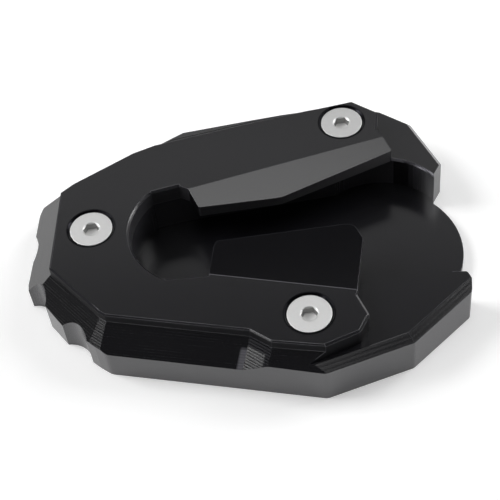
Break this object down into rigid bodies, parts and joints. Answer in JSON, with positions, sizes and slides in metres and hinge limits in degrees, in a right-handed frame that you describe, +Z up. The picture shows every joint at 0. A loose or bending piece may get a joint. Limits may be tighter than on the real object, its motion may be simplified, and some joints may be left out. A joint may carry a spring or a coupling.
{
  "type": "kickstand foot enlarger",
  "caption": "Two-plate foot that clamps round the end of a motorbike's side stand and widens its footprint on soft ground.",
  "frame": {"origin": "middle of the footprint on the ground, under the plates", "axes": "+X towards the open end of the pocket, +Y towards the longer arm of the fork, +Z up"},
  "size_m": [0.1242, 0.0934, 0.019],
  "materials": {
    "base_plate": "black anodised, satin",
    "clamp_plate": "black anodised, satin",
    "clamp_screws": "stainless, bright"
  },
  "bodies": {
    "root": {"base_plate": "base_plate", "clamp_plate": "clamp_plate", "clamp_screws": "clamp_screws"}
  },
  "joints": []
}
